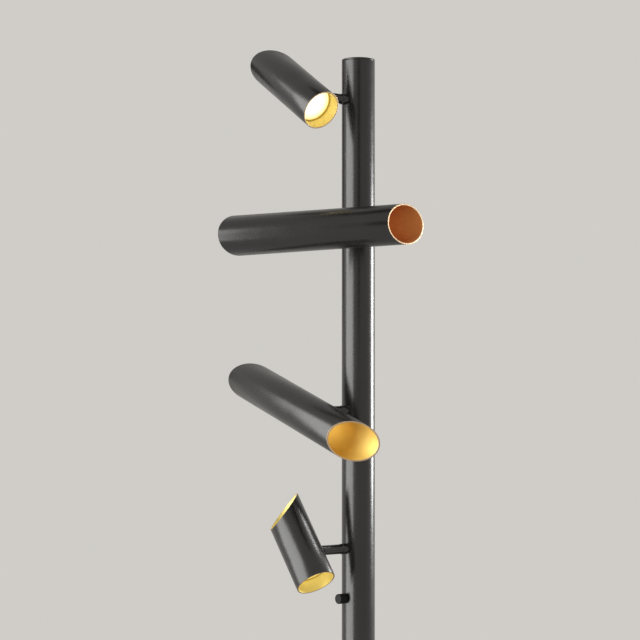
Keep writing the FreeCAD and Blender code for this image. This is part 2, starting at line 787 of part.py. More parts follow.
# ---------------------------------------------------------------- dimmer, driver, wiring
def make_dimmer():
    """Rotary dimmer behind the pole wall, its nut, its shaft and the knurled knob."""
    at_dimmer = {"y": "dimmer_height"}
    can = new_body("dimmer_body")
    revolve(can, "YZ_Plane", "H_Axis", [
        ("-dimmer_back", "0"), ("-dimmer_back", "dimmer_can_radius"),
        ("-dimmer_face", "dimmer_can_radius"), ("-dimmer_face", "bushing_radius"),
        ("-bushing_end", "bushing_radius"), ("-bushing_end", "shaft_radius + clearance"),
        ("-shaft_start + shaft_end_play", "shaft_radius + clearance"),
        ("-shaft_start + shaft_end_play", "0")], at_dimmer)
    height = size("dimmer_height")
    nut = boolean(
        "Cut", "dimmer_nut",
        hexagon("dimmer_nut_blank", "dimmer_nut_width", "dimmer_nut_height",
                along_arm(size("pole_outer_radius"), height)),
        cylinder("dimmer_nut_bore", "bushing_radius + clearance", "2 * pole_outer_radius",
                 along_arm(0, height)))
    shaft = cylinder("dimmer_shaft", "shaft_radius", "shaft_end - shaft_start",
                     along_arm(size("shaft_start"), height))
    SUB_PARTS.extend([nut, shaft])
    knob = new_body("dimmer_knob")
    recess = "-knob_back - knob_recess_depth"
    revolve(knob, "YZ_Plane", "H_Axis", [
        ("-knob_back", "knob_recess_radius"), ("-knob_back", "knob_radius"),
        ("-knob_front + knob_chamfer", "knob_radius"),
        ("-knob_front", "knob_radius - knob_chamfer"), ("-knob_front", "0"),
        ("-shaft_end - fit_gap", "0"), ("-shaft_end - fit_gap", "shaft_radius + knob_grip"),
        (recess, "shaft_radius + knob_grip"), (recess, "knob_recess_radius")], at_dimmer)
    groove = new_sketch(knob, "knurl_groove", "XZ_Plane", {"z": "knob_back - cut_margin"})
    draw_outline(groove, [
        ("0", "dimmer_height + knob_radius - knurl_depth"),
        ("knurl_half_width", "dimmer_height + knob_radius + fit_gap"),
        ("-knurl_half_width", "dimmer_height + knob_radius + fit_gap")])
    first = pocket(knob, groove, "knob_front - knob_back + 2 * cut_margin")
    profile = doc.getObject("dimmer_knob_profile")
    repeat(knob, first, "PolarPattern", (profile, ["H_Axis"]), int(size("knurl_count")))


def make_driver():
    """Slim LED driver inside the lower pole."""
    body = new_body("led_driver")
    outline = new_sketch(body, "driver_outline", "XY_Plane", {"z": "driver_bottom"})
    draw_outline(outline, [
        ("-driver_width / 2", "-driver_depth / 2"), ("driver_width / 2", "-driver_depth / 2"),
        ("driver_width / 2", "driver_depth / 2"), ("-driver_width / 2", "driver_depth / 2")])
    block = pad(body, outline, "driver_length")
    round_edges(body, block, "driver_edge",
                lambda edge: edge.Length > size("driver_length") - 1e-3)


def make_wiring():
    """Wire bundle up the pole, with a branch into every pivot and to the dimmer."""
    bottom = size("driver_bottom") + size("driver_length")
    trunk = cylinder("wire_trunk", "trunk_radius", "head_1_height - driver_bottom - driver_length",
                     upright(bottom))
    runs = [trunk]
    for head in HEADS:
        runs.append(cylinder("wire_branch_%d" % head, "branch_radius", "arm_reach - branch_back",
                             along_arm(0, arm_height(head), arm_azimuth(head))))
    runs.append(cylinder("wire_branch_dimmer", "branch_radius", "dimmer_back",
                         along_arm(0, size("dimmer_height"))))
    harness = doc.addObject("Part::MultiFuse", "pole_wiring")
    harness.Shapes = runs
    SUB_PARTS.append(harness)


# ---------------------------------------------------------------- build and write
def check_document():
    """Stop before anything is written if an object failed or a sub-part has no good solid."""
    doc.recompute()
    for item in doc.Objects:
        if "Invalid" in item.State or "Error" in item.State:
            raise RuntimeError("failed: " + item.Name)
    for part in SUB_PARTS:
        if part.Shape.isNull() or not part.Shape.isValid() or not part.Shape.Solids:
            raise RuntimeError("no valid solid: " + part.Label)


def write_parts():
    """One file for every sub-part, named by its label."""
    os.makedirs("parts", exist_ok=True)
    for part in SUB_PARTS:
        part.Shape.exportStep(os.path.join("parts", part.Label + ".step"))


make_base_pad()
make_base_weight()
make_base_cover()
make_cord_bushing()
make_base_fixing()
make_pole_foot_plug()
make_lower_pole()
make_upper_pole()
make_pole_coupler()
make_pole_cap()
for number in HEADS:
    make_arm_base(number)
    make_arm_swivel(number)
    make_tube_seat(number)
    make_head_tube(number)
    make_heat_sink(number)
    make_led_board(number)
    make_diffuser(number)
    make_retaining_ring(number)
    make_baffle(number)
make_pivots()
make_dimmer()
make_driver()
make_wiring()
check_document()
write_parts()
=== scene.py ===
"""Tree floor lamp: a round base, a slim pole and four tubular heads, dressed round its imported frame."""

import json
import math

import bmesh
import bpy
from bpy.props import FloatProperty, FloatVectorProperty, IntProperty, PointerProperty
from mathutils import Matrix, Vector

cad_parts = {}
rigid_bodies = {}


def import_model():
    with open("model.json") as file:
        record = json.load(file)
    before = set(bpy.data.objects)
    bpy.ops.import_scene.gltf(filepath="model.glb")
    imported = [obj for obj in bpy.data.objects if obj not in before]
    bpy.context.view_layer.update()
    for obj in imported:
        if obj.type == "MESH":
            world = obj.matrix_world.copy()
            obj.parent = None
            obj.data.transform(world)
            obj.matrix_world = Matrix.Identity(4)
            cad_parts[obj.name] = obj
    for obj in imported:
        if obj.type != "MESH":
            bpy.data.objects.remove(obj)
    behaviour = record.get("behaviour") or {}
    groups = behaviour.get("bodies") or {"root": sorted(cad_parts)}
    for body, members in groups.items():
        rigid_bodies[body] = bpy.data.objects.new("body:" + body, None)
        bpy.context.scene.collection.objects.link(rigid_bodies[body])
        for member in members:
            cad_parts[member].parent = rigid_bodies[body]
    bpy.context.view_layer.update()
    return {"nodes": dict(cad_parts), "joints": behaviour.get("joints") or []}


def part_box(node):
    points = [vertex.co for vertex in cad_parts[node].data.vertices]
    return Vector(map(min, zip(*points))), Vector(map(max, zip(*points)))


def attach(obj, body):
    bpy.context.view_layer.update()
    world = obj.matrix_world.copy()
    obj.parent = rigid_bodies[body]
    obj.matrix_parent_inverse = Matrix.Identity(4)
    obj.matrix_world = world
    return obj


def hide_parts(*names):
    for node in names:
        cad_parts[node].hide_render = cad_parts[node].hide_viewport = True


bl_info = {
    "name": "Tree floor lamp",
    "version": (1, 0, 0),
    "blender": (4, 5, 0),
    "location": "3D Viewport > Sidebar > Lamp",
    "description": "Builds the visible pieces of a floor lamp with four tubular heads",
    "category": "Add Mesh",
}

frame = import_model()

# The heads from the top down. Every far end is cut on the slant, and so is a near end that isn't square.
HEADS = (1, 2, 3, 4)
SQUARE_NEAR_END = (1, 4)
LONGER_ON_THE_POLE_SIDE = (4,)
TURNED_DOWN = (2,)
# Heads 2 and 3 get tinted copies of the gold inside. Head 2's is darker, as painted shade. Head 3's is
# warmer, as painted bounce light.
INSIDE = {2: "gold_painted_shade", 3: "gold_painted_bounce"}

# Sizes in metres that several pieces share.
PIVOT_BORE = 0.00495  # radius of the hole that a pivot's nipple passes through
EASE = 0.0003  # rounding of an edge that only looks sharp
PLAY = 0.0001  # room round a plug in its tube
ON_PLANE = 1e-6  # how far off a plane a point may lie and still be on it
ON_CUT = 1e-5  # the same for a slanted cut
MERGED = 0.000002  # points closer than this become one

# A piece is modelled upright, then laid along its tube or turned to point away from the pole.
ALONG_TUBE = Matrix.Rotation(math.radians(90), 4, "Y")
OUTWARD = Matrix.Rotation(math.radians(90), 4, "X")


def joint(name):
    """The record's joint of this name."""
    return next(item for item in frame["joints"] if item["name"] == name)


def top_of(node):
    """Highest point of a node of the frame."""
    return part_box(node)[1].z


def bottom_of(node):
    """Lowest point of a node of the frame."""
    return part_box(node)[0].z


# ---------------------------------------------------------------- settings
class LampSizes(bpy.types.PropertyGroup):
    """Sizes of the lamp's visible pieces."""
    pole_radius: FloatProperty(
        name="Pole radius", description="Outer radius of the pole tubes",
        default=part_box("upper_pole")[1].x, unit="LENGTH", precision=4)
    pole_wall: FloatProperty(
        name="Pole wall", description="Wall of the pole tubes",
        default=0.0015, unit="LENGTH", precision=4)
    base_radius: FloatProperty(
        name="Base radius", description="Outer radius of the base cover",
        default=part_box("base_cover")[1].x, unit="LENGTH", precision=4)
    base_edge: FloatProperty(
        name="Base edge", description="Rounding of the base cover's upper edge",
        default=0.005, unit="LENGTH", precision=4)
    tube_radius: FloatProperty(
        name="Head radius", description="Outer radius of the head tubes",
        default=0.0295, unit="LENGTH", precision=4)
    tube_wall: FloatProperty(
        name="Head wall", description="Wall of the head tubes", default=0.002, unit="LENGTH", precision=4)
    arm_reach: FloatProperty(
        name="Arm reach", description="From the pole's axis to the axis of a head tube",
        default=0.108, unit="LENGTH", precision=4)
    arm_radius: FloatProperty(
        name="Arm radius", description="Radius of the arms' barrels",
        default=0.0073, unit="LENGTH", precision=4)
    arm_split: FloatProperty(
        name="Arm split", description="From the pole's axis to the end of an arm's fixed barrel",
        default=0.0715, unit="LENGTH", precision=4)
    cut_run: FloatProperty(
        name="Cut slope", description="How far a slanted end runs along the tube for each unit across it",
        default=0.839)
    head_near: FloatVectorProperty(
        name="Near ends", description="From the pivot to the middle of each head's lit end",
        size=4, default=(0.0535, 0.076, 0.124, 0.0535), unit="LENGTH", precision=4)
    head_far: FloatVectorProperty(
        name="Far ends", description="From the pivot to the middle of each head's other end",
        size=4, default=(0.0785, 0.1695, 0.1275, 0.072), unit="LENGTH", precision=4)
    head_tilt: FloatVectorProperty(
        name="Tilts", description="Tilt of each head at rest, lit end up", size=4, subtype="EULER",
        unit="ROTATION", default=tuple(math.radians(angle) for angle in (-33.7, 3.5, -19.6, -52.8)))
    round_faces: IntProperty(
        name="Round faces", description="Faces round a tube", default=128, min=24, max=256)


class LampColours(bpy.types.PropertyGroup):
    """Colours of the lamp's finishes."""
    coat: FloatVectorProperty(
        name="Black coat", description="Powder coat on pole, base and heads", subtype="COLOR", size=3,
        min=0, max=1, default=(0.0085, 0.0077, 0.0073))
    gold: FloatVectorProperty(
        name="Gold", description="Satin gold inside the heads", subtype="COLOR", size=3,
        min=0, max=1, default=(0.82, 0.71, 0.27))
    # The gold lacquer made warmer and deeper as painted bounce light, for the inside of head 3, which is
    # lit only from deep inside.
    gold_painted_bounce: FloatVectorProperty(
        name="Warm gold", description="The same lacquer in head 3, which is lit only from deep inside",
        subtype="COLOR", size=3, min=0, max=1, default=(0.84, 0.64, 0.20))
    # The gold lacquer darkened and reddened as painted shade, for the barely lit inside of the head that
    # is turned down.
    gold_painted_shade: FloatVectorProperty(
        name="Deep gold", description="The same lacquer in the head that is turned down", subtype="COLOR",
        size=3, min=0, max=1, default=(0.64, 0.25, 0.075))
    rim: FloatVectorProperty(
        name="Cut rims", description="Brushed rims of the head tubes", subtype="COLOR", size=3,
        min=0, max=1, default=(0.56, 0.41, 0.26))
    light: FloatVectorProperty(
        name="Lamp light", description="Colour of the light behind the diffusers",
        subtype="COLOR", size=3, min=0, max=1, default=(1.0, 0.90, 0.67))
    dim_light: FloatVectorProperty(
        name="Dim light", description="Colour of the light in the head that is turned down",
        subtype="COLOR", size=3, min=0, max=1, default=(1.0, 0.66, 0.36))
    backdrop: FloatVectorProperty(
        name="Backdrop", description="Colour of floor and backdrop", subtype="COLOR", size=3,
        min=0, max=1, default=(0.630, 0.610, 0.578))


class LampStage(bpy.types.PropertyGroup):
    """Camera and lamps of the studio."""
    azimuth: FloatProperty(
        name="Azimuth", description="Direction of the camera round the pole, from the front",
        default=math.radians(51.02), unit="ROTATION")
    distance: FloatProperty(
        name="Distance", description="From the pole to the camera", default=2.665, unit="LENGTH")
    aside: FloatProperty(
        name="Aside", description="How far the camera stands to its left of the pole",
        default=0.05782, unit="LENGTH", precision=4)
    eye_height: FloatProperty(
        name="Eye height", description="Height of the camera", default=1.1534, unit="LENGTH", precision=4)
    focal_length: FloatProperty(
        name="Focal length", description="Lens for a 36 mm sensor", default=99.29, unit="CAMERA")
    raise_view: FloatProperty(
        name="Raise view", description="Upward shift of the lens, as a share of the frame", default=0.1076)
    left_watts: FloatProperty(
        name="Left lamp", description="Large soft lamp on the left", default=84, unit="POWER")
    right_watts: FloatProperty(
        name="Right lamp", description="Small bright lamp on the right, a little behind",
        default=36, unit="POWER")
    edge_watts: FloatProperty(
        name="Edge lamp", description="High narrow lamp on the right", default=16, unit="POWER")
    ambient: FloatProperty(name="Ambient", description="Level of the light all round", default=0.18)


def sizes():
    """The size settings."""
    return bpy.context.scene.lamp_sizes


def colours():
    """The colour settings."""
    return bpy.context.scene.lamp_colours


# ---------------------------------------------------------------- modelling
def deselect_everything():
    """Leave no object selected."""
    for item in bpy.context.view_layer.objects:
        item.select_set(False)


def only(piece):
    """Make one object the selected and active one."""
    deselect_everything()
    piece.select_set(True)
    bpy.context.view_layer.objects.active = piece


def named(name):
    """Name the primitive that was just added, with its place in its mesh."""
    piece = bpy.context.active_object
    piece.name = name
    piece.data.name = name
    bpy.ops.object.transform_apply(location=True, rotation=True, scale=True)
    return piece


def bar(name, radius, start, end, ends="NGON", place=(0, 0, 0), turn=(0, 0, 0), faces=None):
    """A cylinder along Z from start to end, or turned and moved from there."""
    deselect_everything()
    bpy.ops.mesh.primitive_cylinder_add(
        vertices=faces or sizes().round_faces, radius=radius, depth=end - start,
        end_fill_type=ends, location=(0, 0, (start + end) / 2))
    piece = named(name)
    piece.rotation_euler = turn
    piece.location = place
    bpy.ops.object.transform_apply(location=True, rotation=True, scale=True)
    return piece


def edit_faces(piece, wanted):
    """Enter edit mode with just the wanted faces selected."""
    only(piece)
    bpy.ops.object.mode_set(mode="EDIT")
    bpy.ops.mesh.select_mode(type="FACE")
    mesh = bmesh.from_edit_mesh(piece.data)
    for face in mesh.faces:
        face.select = bool(wanted(face))
    mesh.select_flush_mode()
    bmesh.update_edit_mesh(piece.data)


def edit_edges(piece, wanted):
    """Enter edit mode with just the wanted edges selected."""
    only(piece)
    bpy.ops.object.mode_set(mode="EDIT")
    bpy.ops.mesh.select_mode(type="EDGE")
    mesh = bmesh.from_edit_mesh(piece.data)
    for edge in mesh.edges:
        edge.select = bool(wanted(edge))
    mesh.select_flush_mode()
    bmesh.update_edit_mesh(piece.data)


def leave_edit():
    """Back to object mode."""
    bpy.ops.object.mode_set(mode="OBJECT")


def turn_on_lathe(piece, radius, height, steps, upward=True):
    """Extrude an end face through steps of radius and height, as a turned profile."""
    way = 1 if upward else -1
    edit_faces(piece, lambda face: face.normal.z * way > 0.9
               and abs(face.calc_center_median().z - height) < ON_PLANE)
    for next_radius, next_height in steps:
        bpy.ops.mesh.extrude_region_move(
            TRANSFORM_OT_translate={"value": (0, 0, next_height - height)})
        share = next_radius / radius
        bpy.ops.transform.resize(value=(share, share, 1), center_override=(0, 0, next_height))
        radius, height = next_radius, next_height
    leave_edit()


def soften(piece, width, segments, angle):
    """Round every edge sharper than the angle."""
    only(piece)
    bpy.ops.object.modifier_add(type="BEVEL")
    rounding = piece.modifiers[-1]
    rounding.width = width
    rounding.segments = segments
    rounding.limit_method = "ANGLE"
    rounding.angle_limit = math.radians(angle)
    bpy.ops.object.modifier_apply(modifier=rounding.name)


def carve(piece, tool):
    """Cut a piece with a tool, which is then thrown away."""
    only(piece)
    bpy.ops.object.modifier_add(type="BOOLEAN")
    cut = piece.modifiers[-1]
    cut.operation = "DIFFERENCE"
    cut.solver = "EXACT"
    cut.object = tool
    bpy.ops.object.modifier_apply(modifier=cut.name)
    bpy.data.objects.remove(tool)


def copy_of(pattern, name):
    """A copy of a piece, with a mesh of its own."""
    piece = pattern.copy()
    piece.data = pattern.data.copy()
    piece.name = name
    bpy.context.collection.objects.link(piece)
    return piece


def settle(piece, body, nodes, materials, place=None, angle=30):
    """Merge and smooth a finished piece, put it in place and hand it to the frame."""
    edit_faces(piece, lambda face: True)
    bpy.ops.mesh.remove_doubles(threshold=MERGED)
    leave_edit()
    only(piece)
    bpy.ops.object.shade_smooth_by_angle(angle=math.radians(angle))
    if place is not None:
        piece.matrix_world = place
        bpy.ops.object.transform_apply(location=True, rotation=True, scale=True)
    if not piece.data.materials:
        for material in materials:
            piece.data.materials.append(material)
    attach(piece, body)
    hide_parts(*nodes)


def arm_place(head):
    """Where a head's fixed arm stands: the pivot's height, turned round the pole."""
    turn = joint("head_%d_turn" % head)
    outward = Vector(turn["axis"])
    azimuth = math.atan2(outward.x, -outward.y)
    return Matrix.Translation((0, 0, turn["pos_m"][2])) @ Matrix.Rotation(azimuth, 4, "Z")


def head_place(head):
    """Where a head stands: its arm's place, tilted about the pivot."""
    return arm_place(head) @ Matrix.Rotation(-sizes().head_tilt[head - 1], 4, "Y")


# ---------------------------------------------------------------- finishes
class Nodes:
    """A material's node tree under construction."""

    def __init__(self, name):
        self.material = bpy.data.materials.new(name)
        self.material.use_nodes = True
        self.tree = self.material.node_tree
        self.tree.nodes.clear()
        self.output = self.add("ShaderNodeOutputMaterial")
        self.place = self.add("ShaderNodeTexCoord").outputs["Object"]

    def add(self, kind, **inputs):
        """A node with some of its sockets set or linked."""
        made = self.tree.nodes.new(kind)
        for key, value in inputs.items():
            socket = made.inputs[key.replace("_", " ")]
            if isinstance(value, bpy.types.NodeSocket):
                self.tree.links.new(value, socket)
            else:
                socket.default_value = value
        return made

    def noise(self, scale, detail=2.0, stretch=(1, 1, 1)):
        """Noise over the piece, its scale in cycles a metre."""
        spread = self.add("ShaderNodeMapping", Vector=self.place, Scale=stretch)
        grain = self.add("ShaderNodeTexNoise", Vector=spread.outputs["Vector"], Scale=scale, Detail=detail)
        return grain.outputs["Fac"]

    def between(self, factor, low, high, start=0.3, end=0.7):
        """A number that follows a factor from low to high."""
        span = self.add("ShaderNodeMapRange", Value=factor)
        for name, value in (("From Min", start), ("From Max", end), ("To Min", low), ("To Max", high)):
            span.inputs[name].default_value = value
        return span.outputs["Result"]

    def shades(self, factor, dark, light, start=0.3, end=0.7):
        """A colour that follows a factor from dark to light."""
        ramp = self.add("ShaderNodeValToRGB", Fac=factor)
        ramp.color_ramp.elements[0].position = start
        ramp.color_ramp.elements[0].color = (*dark, 1)
        ramp.color_ramp.elements[1].position = end
        ramp.color_ramp.elements[1].color = (*light, 1)
        return ramp.outputs["Color"]

    def bump(self, height, depth, strength=1.0):
        """Relief of a depth in metres."""
        relief = self.add("ShaderNodeBump", Height=height, Strength=strength, Distance=depth)
        return relief.outputs["Normal"]

    def surface(self, **inputs):
        """Finish with a principled surface."""
        shader = self.add("ShaderNodeBsdfPrincipled", **inputs)
        self.tree.links.new(shader.outputs["BSDF"], self.output.inputs["Surface"])
        return self.material


def seen_ray(tree):
    """1 for rays from the camera and for those that gloss and glass send out, else 0."""
    path = tree.nodes.new("ShaderNodeLightPath")
    first = tree.nodes.new("ShaderNodeMath")
    first.operation = "MAXIMUM"
    tree.links.new(path.outputs["Is Camera Ray"], first.inputs[0])
    tree.links.new(path.outputs["Is Glossy Ray"], first.inputs[1])
    second = tree.nodes.new("ShaderNodeMath")
    second.operation = "MAXIMUM"
    tree.links.new(first.outputs[0], second.inputs[0])
    tree.links.new(path.outputs["Is Transmission Ray"], second.inputs[1])
    return second.outputs[0]


def times(colour, factor):
    """A colour made lighter or darker."""
    return tuple(min(1.0, channel * factor) for channel in colour)


def powder_coat():
    """Satin black powder coat: a fine pebbled skin with faint cloudy patches."""
    made = Nodes("powder_coat")
    base = colours().coat
    cloud = made.noise(9, 3)
    pebble = made.noise(1500, 2)
    made.material.diffuse_color = (*base, 1)
    return made.surface(
        Base_Color=made.shades(cloud, times(base, 0.85), times(base, 1.2)),
        Specular_IOR_Level=0.7,
        Roughness=made.between(made.noise(60, 3), 0.24, 0.29),
        Normal=made.bump(pebble, 0.00004, 0.2))


def satin_gold(name, base):
    """Satin gold lacquer with a fine grain."""
    made = Nodes(name)
    fine = made.noise(420, 3)
    return made.surface(
        Base_Color=made.shades(made.noise(30, 3), times(base, 0.93), times(base, 1.06)),
        Metallic=1.0,
        Roughness=made.between(fine, 0.62, 0.70),
        Normal=made.bump(fine, 0.00003, 0.4))


def opal_light(name, tint, strength):
    """Opal plastic lit from behind: an even glow that turns warm and weak towards its edge."""
    made = Nodes(name)
    at_the_edge = (0.62, 0.50, 0.34)
    milk = made.noise(55, 2)
    spot = made.add("ShaderNodeUVMap")
    spot.uv_map = "disc_place"
    centred = made.add("ShaderNodeMapping", Vector=spot.outputs["UV"], Location=(-0.5, -0.5, 0))
    out = made.add("ShaderNodeVectorMath", Vector=centred.outputs["Vector"])
    out.operation = "LENGTH"
    ramp = made.add("ShaderNodeValToRGB", Fac=out.outputs["Value"])
    ramp.color_ramp.interpolation = "EASE"
    ramp.color_ramp.elements[0].position = 0.22
    ramp.color_ramp.elements[0].color = (*tint, 1)
    ramp.color_ramp.elements[1].position = 0.5
    ramp.color_ramp.elements[1].color = (
        *(channel * share for channel, share in zip(tint, at_the_edge)), 1)
    return made.surface(
        Base_Color=made.shades(milk, (0.80, 0.79, 0.76), (0.86, 0.85, 0.82)),
        Roughness=0.38,
        Emission_Color=ramp.outputs["Color"],
        Emission_Strength=strength)


def brushed_rim():
    """Cut rims: the gold's paler shade, brushed across."""
    made = Nodes("brushed_rim")
    lines = made.noise(900, 3, (1, 5, 1))
    return made.surface(
        Base_Color=made.shades(made.noise(40, 3), times(colours().rim, 0.94), colours().rim),
        Metallic=1.0,
        Roughness=made.between(lines, 0.42, 0.52),
        Normal=made.bump(lines, 0.00002, 0.4))


def snap_ring():
    """Drawn ring in the heads' gold, matt enough to take up the light beside it."""
    made = Nodes("snap_ring")
    fine = made.noise(700, 3)
    return made.surface(
        Base_Color=made.shades(
            made.noise(60, 3), times(colours().gold, 0.95), times(colours().gold, 1.1)),
        Metallic=1.0,
        Roughness=made.between(fine, 0.50, 0.60),
        Normal=made.bump(fine, 0.00002, 0.3))


def plain_metal(name, colour, rough, stretch=(1, 1, 1)):
    """Machined or plated metal with fine tool lines."""
    made = Nodes(name)
    grain = made.noise(600, 3, stretch)
    return made.surface(
        Base_Color=made.shades(made.noise(35, 3), times(colour, 0.88), colour),
        Metallic=1.0,
        Roughness=made.between(grain, rough - 0.06, rough + 0.08),
        Normal=made.bump(grain, 0.00003, 0.5))


def moulded(name, colour, rough, grain=900, depth=0.00003, shine=0.5):
    """Moulded plastic or rubber with a fine skin."""
    made = Nodes(name)
    skin = made.noise(grain, 3)
    return made.surface(
        Base_Color=made.shades(made.noise(28, 3), times(colour, 0.9), times(colour, 1.06)),
        Specular_IOR_Level=shine,
        Roughness=made.between(skin, rough - 0.05, rough + 0.06),
        Normal=made.bump(skin, depth, 0.5))


def finish(name):
    """A finish of the lamp by name, made the first time that it is asked for."""
    if name in bpy.data.materials:
        return bpy.data.materials[name]
    makers = {
        "powder_coat": powder_coat,
        "satin_gold": lambda: satin_gold("satin_gold", tuple(colours().gold)),
        # A copy of the gold with painted shade, for the head that is turned down.
        "gold_painted_shade": lambda: satin_gold("gold_painted_shade", tuple(colours().gold_painted_shade)),
        # A copy of the gold with painted bounce light, for head 3.
        "gold_painted_bounce": lambda: satin_gold("gold_painted_bounce", tuple(colours().gold_painted_bounce)),
        "opal_light": lambda: opal_light("opal_light", tuple(colours().light), 1.55),
        "opal_dim": lambda: opal_light("opal_dim", tuple(colours().dim_light), 0.35),
        "brushed_rim": brushed_rim,
        "snap_ring": snap_ring,
        "zinc_plate": lambda: plain_metal("zinc_plate", (0.60, 0.60, 0.57), 0.34),
        "raw_steel": lambda: plain_metal("raw_steel", (0.34, 0.33, 0.31), 0.46, (1, 1, 6)),
        "bare_aluminium": lambda: plain_metal("bare_aluminium", (0.72, 0.72, 0.72), 0.38),
        "white_board": lambda: moulded("white_board", (0.72, 0.73, 0.70), 0.4, 400),
        "black_nylon": lambda: moulded("black_nylon", (0.030, 0.029, 0.028), 0.42),
        "pad_rubber": lambda: moulded("pad_rubber", (0.030, 0.030, 0.031), 0.75, 500, 0.00008),
        "bushing_rubber": lambda: moulded("bushing_rubber", (0.020, 0.020, 0.020), 0.6),
        "dimmer_plastic": lambda: moulded("dimmer_plastic", (0.035, 0.035, 0.037), 0.45),
        "knob_plastic": lambda: moulded("knob_plastic", (0.004, 0.0037, 0.0035), 0.5, 1400, 0.00005, 0.3),
        "driver_plastic": lambda: moulded("driver_plastic", (0.70, 0.70, 0.67), 0.45),
        "wire_cover": lambda: moulded("wire_cover", (0.55, 0.54, 0.51), 0.4),
    }
    return makers[name]()


NODE_FINISHES = {
    "base_weight": "raw_steel", "base_nipple": "zinc_plate", "base_washer": "zinc_plate",
    "base_nut": "zinc_plate", "pole_coupler": "raw_steel", "coupler_screws": "zinc_plate",
    "led_driver": "driver_plastic", "pole_wiring": "wire_cover", "dimmer_body": "dimmer_plastic",
    "dimmer_nut": "zinc_plate", "dimmer_shaft": "zinc_plate", "friction_washers": "black_nylon",
    "pivot_nipples": "zinc_plate", "pole_nuts": "zinc_plate", "head_nuts": "zinc_plate",
    "tube_seat": "bare_aluminium", "heat_sink": "bare_aluminium", "led_board": "white_board",
}


# ---------------------------------------------------------------- operators
class LAMP_OT_inner_parts(bpy.types.Operator):
    """Give the frame's inner parts their finishes."""
    bl_idname = "lamp.inner_parts"
    bl_label = "Inner parts"

    def execute(self, context):
        for name, node in frame["nodes"].items():
            kind = name.rstrip("1234").rstrip("_") if name[-1] in "1234" else name
            if kind not in NODE_FINISHES:
                continue
            node.data.materials.clear()
            node.data.materials.append(finish(NODE_FINISHES[kind]))
        return {"FINISHED"}


class LAMP_OT_pole(bpy.types.Operator):
    """Build the two pole tubes, the foot they stand on and the cap."""
    bl_idname = "lamp.pole"
    bl_label = "Pole"

    def execute(self, context):
        radius, wall = sizes().pole_radius, sizes().pole_wall
        plug, cap_edge = radius - wall - PLAY, 0.0008
        for name in ("lower_pole", "upper_pole"):
            start, end = bottom_of(name), top_of(name)
            tube = bar(name + "_tube", radius, start, end)
            turn_on_lathe(tube, radius, end, [(radius - wall, end), (radius - wall, start + wall)])
            soften(tube, EASE, 1, 60)
            settle(tube, "stand", [name], [finish("powder_coat")])
        foot_start = bottom_of("pole_foot_plug")
        foot_end = bottom_of("lower_pole")
        foot = bar("pole_foot", radius, foot_start, foot_end)
        soften(foot, EASE, 1, 60)
        turn_on_lathe(foot, radius - EASE, foot_end, [
            (plug, foot_end), (plug, top_of("pole_foot_plug"))])
        settle(foot, "stand", ["pole_foot_plug"], [finish("powder_coat")])
        rim = top_of("upper_pole")
        top = top_of("pole_cap")
        cap = bar("pole_top", radius, rim, top)
        soften(cap, cap_edge, 3, 60)
        turn_on_lathe(cap, radius - cap_edge, rim, [
            (plug, rim), (plug, bottom_of("pole_cap"))], upward=False)
        settle(cap, "stand", ["pole_cap"], [finish("powder_coat")])
        return {"FINISHED"}


class LAMP_OT_base(bpy.types.Operator):
    """Build the spun base cover, the pad under it and the inlet's bushing."""
    bl_idname = "lamp.base"
    bl_label = "Base"

    def execute(self, context):
        self.cover()
        self.pad()
        self.bushing()
        return {"FINISHED"}

    def cover(self):
        """Thin dish, rounded at its upper edge, drilled at the back."""
        radius, edge = sizes().base_radius, sizes().base_edge
        low, high = bottom_of("base_cover"), top_of("base_cover")
        sheet = high - top_of("base_weight")
        cover = bar("base_shell", radius, low, high, faces=2 * sizes().round_faces)
        edit_edges(cover, lambda item: all(
            abs(corner.co.z - high) < ON_PLANE for corner in item.verts))
        bpy.ops.mesh.bevel(offset=edge, segments=8, profile=0.5)
        leave_edit()
        inside, bend = radius - sheet, 0.002
        turn_on_lathe(cover, radius, low, [
            (inside, low), (inside, high - sheet - bend), (inside - bend, high - sheet)], upward=False)
        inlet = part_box("cord_bushing")
        height = (inlet[0].z + inlet[1].z) / 2
        hole = 0.005
        drill = bar("inlet_drill", hole, -hole, hole, place=(0, radius, height),
                    turn=(math.radians(90), 0, 0), faces=48)
        carve(cover, drill)
        settle(cover, "stand", ["base_cover"], [finish("powder_coat")])

    def pad(self):
        """Soft disc with a lightly rounded edge and a ring groove under it."""
        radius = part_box("base_pad")[1].x
        low, high = bottom_of("base_pad"), top_of("base_pad")
        edge, groove_outside, groove_inside = 0.0006, radius - 0.010, radius - 0.014
        pad = bar("foot_pad", radius, low, high)
        soften(pad, edge, 2, 60)
        turn_on_lathe(pad, radius - edge, low, [
            (groove_outside, low), (groove_outside - edge, low + edge),
            (groove_inside + edge, low + edge), (groove_inside, low)], upward=False)
        settle(pad, "stand", ["base_pad"], [finish("pad_rubber")])

    def bushing(self):
        """Grommet with a rounded lip and a blind bore."""
        low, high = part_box("cord_bushing")
        height = (low.z + high.z) / 2
        outside = sizes().base_radius
        neck_radius, lip, bore = 0.0049, 0.006, 0.003
        neck = bar("inlet_neck", neck_radius, low.y, outside, faces=48)
        turn_on_lathe(neck, neck_radius, outside, [
            (lip, outside), (lip, high.y - 0.0008), (lip - 0.0003, high.y - 0.0003),
            (lip - 0.0009, high.y), (bore + 0.0006, high.y), (bore + 0.0001, high.y - 0.0004),
            (bore, high.y - 0.001), (bore, low.y + 0.0006)])
        neck.name = "inlet_bushing"
        place = Matrix.Translation((0, 0, height)) @ Matrix.Rotation(math.radians(-90), 4, "X")
        settle(neck, "stand", ["cord_bushing"], [finish("bushing_rubber")], place)


